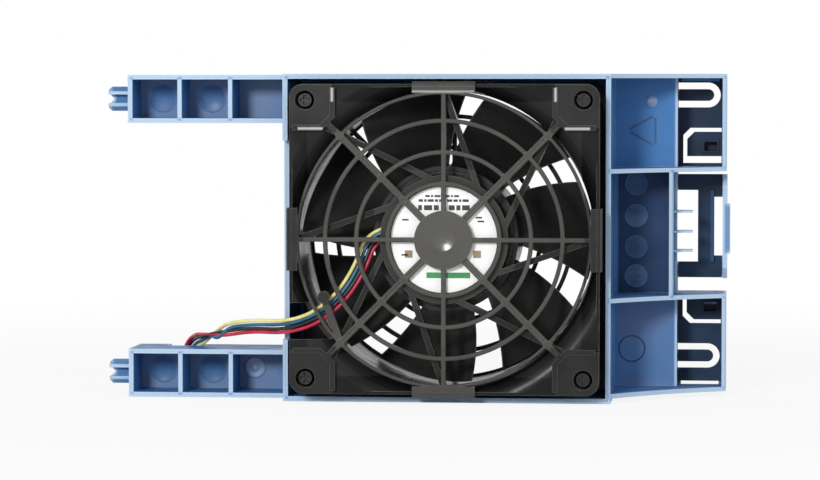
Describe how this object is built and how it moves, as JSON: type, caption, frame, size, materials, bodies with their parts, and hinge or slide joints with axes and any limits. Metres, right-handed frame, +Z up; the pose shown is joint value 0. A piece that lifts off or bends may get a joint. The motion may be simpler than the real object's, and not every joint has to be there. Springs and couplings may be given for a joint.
{
  "type": "server fan module",
  "caption": "Axial cooling fan with finger guards in a blue moulded carrier with guide arms and a sprung latching head.",
  "frame": {"origin": "under the middle of the module's box, on the carrier box's bottom face that it stands on", "axes": "+X from the guide arms towards the latching head, +Y from the labelled guard side through the fan, +Z up"},
  "size_m": [0.1878, 0.057, 0.098],
  "materials": {
    "blue_plastic": "satin moulded",
    "black_plastic": "satin moulded",
    "grey_plastic": "satin moulded",
    "rotor_plastic": "semi-gloss moulded",
    "white_plastic": "satin moulded",
    "steel": "bright",
    "dark_steel": "black oxide",
    "brass": "turned",
    "copper": "enamelled wire",
    "magnet": "bonded",
    "green_board": "solder mask",
    "label": "coated",
    "yellow_wire": "insulation",
    "blue_wire": "insulation",
    "black_wire": "insulation",
    "red_wire": "insulation"
  },
  "bodies": {
    "module": {"carrier_frame": "blue_plastic", "fan_housing": "black_plastic", "finger_guard_front": "grey_plastic", "finger_guard_rear": "grey_plastic", "corner_screws": "dark_steel", "motor_label": "label", "motor_board": "green_board", "bearing_tube": "brass", "bearing_front": "steel", "bearing_rear": "steel", "stator_core": "steel", "coil_former": "white_plastic", "stator_windings": "copper", "wire_yellow": "yellow_wire", "wire_blue": "blue_wire", "wire_black": "black_wire", "wire_red": "red_wire", "lead_plug": "white_plastic", "plug_contacts": "brass"},
    "rotor": {"impeller": "rotor_plastic", "rotor_yoke": "dark_steel", "yoke_bushing": "brass", "ring_magnet": "magnet", "rotor_shaft": "steel", "shaft_clip": "steel", "preload_spring": "steel"},
    "latch": {"release_latch": "blue_plastic"},
    "upper_catch": {"catch_tongue_upper": "blue_plastic"},
    "lower_catch": {"catch_tongue_lower": "blue_plastic"},
    "upper_snap": {"snap_tongue_upper": "blue_plastic"},
    "lower_snap": {"snap_tongue_lower": "blue_plastic"}
  },
  "joints": [
    {"name": "rotor_spin", "type": "hinge", "parent": "module", "child": "rotor", "pos_m": [0.0098, -0.0085, 0.049], "axis": [0, 1, 0], "continuous": true},
    {"name": "latch_flex", "type": "hinge", "parent": "module", "child": "latch", "pos_m": [0.0779, 0.0247, 0.0513], "axis": [0, 0, -1], "range_deg": [0, 8], "stiffness_Nm_per_rad": 1},
    {"name": "upper_catch_flex", "type": "hinge", "parent": "module", "child": "upper_catch", "pos_m": [0.0911, 0.0247, 0.07645], "axis": [0, 0, 1], "range_deg": [-4, 4], "stiffness_Nm_per_rad": 0.2},
    {"name": "lower_catch_flex", "type": "hinge", "parent": "module", "child": "lower_catch", "pos_m": [0.0911, 0.0247, 0.0259], "axis": [0, 0, 1], "range_deg": [-4, 4], "stiffness_Nm_per_rad": 0.2},
    {"name": "upper_snap_flex", "type": "hinge", "parent": "module", "child": "upper_snap", "pos_m": [0.0779, 0.0247, 0.0915], "axis": [0, 0, -1], "range_deg": [-4, 4], "stiffness_Nm_per_rad": 0.1},
    {"name": "lower_snap_flex", "type": "hinge", "parent": "module", "child": "lower_snap", "pos_m": [0.0779, 0.0247, 0.0112], "axis": [0, 0, -1], "range_deg": [-4, 4], "stiffness_Nm_per_rad": 0.1}
  ]
}
